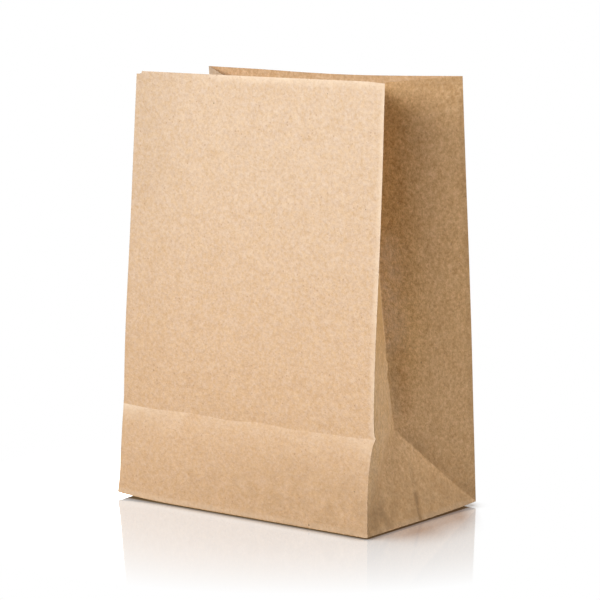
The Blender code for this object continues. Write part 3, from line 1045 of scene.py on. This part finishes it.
def white_beyond(tree):
    """1 for the rays that should meet a plain white studio: seen, mirrored and transmitted ones."""
    path = add_node(tree, "ShaderNodeLightPath")
    seen = maths(tree, "MAXIMUM", path.outputs["Is Camera Ray"], path.outputs["Is Glossy Ray"])
    return maths(tree, "MAXIMUM", seen, path.outputs["Is Transmission Ray"])


# The openness of the floor is the share of the space over a point that the bag leaves free.
CONTACT_SHADE_REACH = 0.009  # reach of the painted contact shade where the bag meets the floor
CONTACT_SHADE_FULL, CONTACT_SHADE_END = 0.42, 0.98  # openness at which it is full and at which it ends
CONTACT_SHADE_COLOUR = (0.20, 0.122, 0.055, 1.0)
SHADOW_REACH = 0.045
SHADOW_FROM = {"X": -0.45, "Y": -0.55, "Z": 0.70}  # the way from which the shadow on the right is cast
SHADOW_START, SHADOW_FULL = 0.97, 0.54  # openness at which it begins and at which it is full

# Where that shadow lies: a way along the floor, the two distances along it between which the shadow changes,
# and its shares at the two.
SHADOW_LIMITS = (
    ((1.0, 0.0, 0.0), 0.072, 0.102, 0.0, 1.0),
    ((0.0, 1.0, 0.0), -0.085, -0.020, 0.22, 1.0),
    ((0.79, 0.61, 0.0), 0.106, 0.094, 0.0, 1.0),
)

GLOSS_ROUGHNESS = 0.06
GLOSS_IOR = 1.5


def floor_openness(tree, reach, **inputs):
    """The openness of each point of the floor within a reach."""
    sockets = {"Distance": reach, **inputs}
    return add_node(tree, "ShaderNodeAmbientOcclusion", sockets, samples=16).outputs["AO"]


def floor_colour(tree, place, stage):
    """White, with the bag's painted soft shadow and the painted dark contact shade under its edges."""
    shadow_from = add_node(tree, "ShaderNodeCombineXYZ", SHADOW_FROM).outputs[0]
    shaded = ramp(tree, floor_openness(tree, SHADOW_REACH, Normal=shadow_from), SHADOW_START, SHADOW_FULL)
    for way, near, far, start, end in SHADOW_LIMITS:
        along = add_node(tree, "ShaderNodeVectorMath", {0: place, 1: way}, operation="DOT_PRODUCT")
        held = ramp(tree, along.outputs["Value"], near, far, start, end)
        shaded = maths(tree, "MULTIPLY", shaded, held)
    shadow = blend(tree, "MIX", shaded, WHITE, opaque(stage.shadow))
    # Painted contact shade under the bag's edges.
    clear = ramp(tree, floor_openness(tree, CONTACT_SHADE_REACH), CONTACT_SHADE_FULL, CONTACT_SHADE_END)
    line = blend(tree, "MIX", clear, CONTACT_SHADE_COLOUR, WHITE)
    return blend(tree, "MULTIPLY", 1.0, shadow, line)


def floor_material(stage):
    """White gloss floor: it mirrors the bag near its foot and keeps its shadow."""
    material = bpy.data.materials.new("gloss_floor")
    material.use_nodes = True
    tree = material.node_tree
    tree.nodes.clear()
    place = add_node(tree, "ShaderNodeTexCoord").outputs["Object"]
    plain = add_node(tree, "ShaderNodeEmission", {"Color": floor_colour(tree, place, stage), "Strength": 1.0})
    gloss = add_node(tree, "ShaderNodeBsdfGlossy", {"Color": WHITE, "Roughness": GLOSS_ROUGHNESS})

    reach = add_node(tree, "ShaderNodeVectorMath", {0: place}, operation="LENGTH").outputs["Value"]
    far = ramp(tree, reach, stage.gloss_start, stage.gloss_end)
    polish = maths(tree, "SUBTRACT", 1.0, maths(tree, "POWER", far, 2.0))
    fresnel = add_node(tree, "ShaderNodeFresnel", {"IOR": GLOSS_IOR}).outputs[0]
    mirror = maths(tree, "MULTIPLY", maths(tree, "MULTIPLY", fresnel, stage.gloss), polish, clamp=True)
    shown = mixed_shader(tree, mirror, plain, gloss)
    bounced = opaque(stage.bounce * channel for channel in stage.floor)
    bounce = add_node(tree, "ShaderNodeBsdfDiffuse", {"Color": bounced})
    both = mixed_shader(tree, white_beyond(tree), bounce, shown)
    add_node(tree, "ShaderNodeOutputMaterial", {"Surface": both.outputs[0]})
    return material


def studio_world(ambient):
    """White where it is seen or mirrored, and a plain soft light elsewhere."""
    world = bpy.data.worlds.new("white_studio")
    world.use_nodes = True
    tree = world.node_tree
    tree.nodes.clear()
    light = add_node(tree, "ShaderNodeBackground", {"Color": WHITE, "Strength": ambient})
    white = add_node(tree, "ShaderNodeBackground", {"Color": WHITE, "Strength": 1.0})
    both = mixed_shader(tree, white_beyond(tree), light, white)
    add_node(tree, "ShaderNodeOutputWorld", {"Surface": both.outputs[0]})
    return world


# The lamps: the name, the stage's value for the power, the place and the size of each.
LAMPS = (
    ("key_lamp", "key", (0.02, -1.28, 0.68), (1.2, 0.6)),
    ("side_lamp", "side", (1.20, -0.64, 0.75), (0.8, 0.8)),
    ("rear_lamp_right", "rear", (1.08, 0.91, 0.63), (0.7, 0.7)),
    ("rear_lamp_left", "rear", (-1.08, 0.91, 0.63), (0.7, 0.7)),
)
LAMP_AIM = (0.0, 0.0, 0.12)

CAMERA_PLACE = (0.91005, -1.19533, 0.33877)
CAMERA_DIRECTION = (-0.5981, 0.7882, -0.1448)
SENSOR_WIDTH = 36.0
NEAR_CLIP, FAR_CLIP = 0.05, 50.0

# The floor lies this far under the bag, so that the two surfaces don't meet, and has this many edges.
FLOOR_DROP = 0.00005
FLOOR_EDGES = 96


def looking(direction):
    """The turn of a lamp or camera that looks in a direction."""
    return Vector(direction).to_track_quat("-Z", "Y").to_euler()


def lay_floor(stage):
    """The round floor under the bag."""
    disc = bmesh.new()
    bmesh.ops.create_circle(disc, cap_ends=True, radius=stage.floor_radius, segments=FLOOR_EDGES)
    bmesh.ops.translate(disc, vec=(0, 0, -FLOOR_DROP), verts=disc.verts)
    mesh = bpy.data.meshes.new("studio_floor")
    disc.to_mesh(mesh)
    disc.free()
    mesh.materials.append(floor_material(stage))
    floor = bpy.data.objects.new("studio_floor", mesh)
    bpy.context.scene.collection.objects.link(floor)


def hang_lamp(name, place, size, watts):
    """A soft lamp that looks at the bag."""
    lamp = bpy.data.lights.new(name, "AREA")
    lamp.shape = "RECTANGLE"
    lamp.size, lamp.size_y = size
    lamp.energy = watts
    holder = bpy.data.objects.new(name, lamp)
    bpy.context.scene.collection.objects.link(holder)
    holder.location = place
    holder.rotation_euler = looking(Vector(LAMP_AIM) - Vector(place))


def set_camera(stage):
    """The camera, which is made the scene's own."""
    lens = bpy.data.cameras.new("camera")
    lens.lens = stage.lens
    lens.sensor_width = SENSOR_WIDTH
    lens.clip_start, lens.clip_end = NEAR_CLIP, FAR_CLIP
    camera = bpy.data.objects.new("camera", lens)
    bpy.context.scene.collection.objects.link(camera)
    camera.location = CAMERA_PLACE
    camera.rotation_euler = looking(CAMERA_DIRECTION)
    bpy.context.scene.camera = camera


class LUNCHBAG_OT_fold_bag(bpy.types.Operator):
    """Fold the bag and put it in the place of its plain model"""

    bl_idname = "lunch_bag.fold_bag"
    bl_label = "Fold Bag"

    def execute(self, context):
        scene = context.scene
        mesh = fold_sheet(scene.lunch_bag_sizes, scene.lunch_bag_look)
        mesh.materials.clear()
        mesh.materials.append(kraft_paper_material(scene.lunch_bag_look))
        bag = bpy.data.objects.new("kraft_bag", mesh)
        scene.collection.objects.link(bag)
        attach(bag, "root")
        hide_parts(CAD_NODE)
        return {"FINISHED"}


class LUNCHBAG_OT_set_stage(bpy.types.Operator):
    """Lay the floor, hang the lamps and set up the camera"""

    bl_idname = "lunch_bag.set_stage"
    bl_label = "Set Stage"

    def execute(self, context):
        scene = context.scene
        stage = scene.lunch_bag_stage
        lay_floor(stage)
        scene.world = studio_world(stage.ambient)
        for name, power, place, size in LAMPS:
            hang_lamp(name, place, size, getattr(stage, power))
        set_camera(stage)
        scene.view_settings.view_transform = "Standard"
        return {"FINISHED"}


class LUNCHBAG_PT_sidebar(bpy.types.Panel):
    """Sizes, look and stage of the lunch bag"""

    bl_idname = "LUNCHBAG_PT_sidebar"
    bl_label = "Lunch Bag"
    bl_space_type = "VIEW_3D"
    bl_region_type = "UI"
    bl_category = "Lunch Bag"

    def draw(self, context):
        steps = (
            (context.scene.lunch_bag_sizes, LUNCHBAG_OT_fold_bag),
            (context.scene.lunch_bag_look, None),
            (context.scene.lunch_bag_stage, LUNCHBAG_OT_set_stage),
        )
        for group, operator in steps:
            box = self.layout.box()
            for name in group.bl_rna.properties.keys():
                if name not in ("rna_type", "name"):
                    box.prop(group, name)
            if operator:
                box.operator(operator.bl_idname)


SETTINGS = {
    "lunch_bag_sizes": LunchBagSizes,
    "lunch_bag_look": LunchBagLook,
    "lunch_bag_stage": LunchBagStage,
}
CLASSES = (*SETTINGS.values(), LUNCHBAG_OT_fold_bag, LUNCHBAG_OT_set_stage, LUNCHBAG_PT_sidebar)


def register():
    for each in CLASSES:
        bpy.utils.register_class(each)
    for name, group in SETTINGS.items():
        setattr(bpy.types.Scene, name, bpy.props.PointerProperty(type=group))


def unregister():
    for name in SETTINGS:
        delattr(bpy.types.Scene, name)
    for each in reversed(CLASSES):
        bpy.utils.unregister_class(each)


def main():
    register()
    bpy.ops.lunch_bag.fold_bag()
    bpy.ops.lunch_bag.set_stage()


if __name__ == "__main__":
    main()
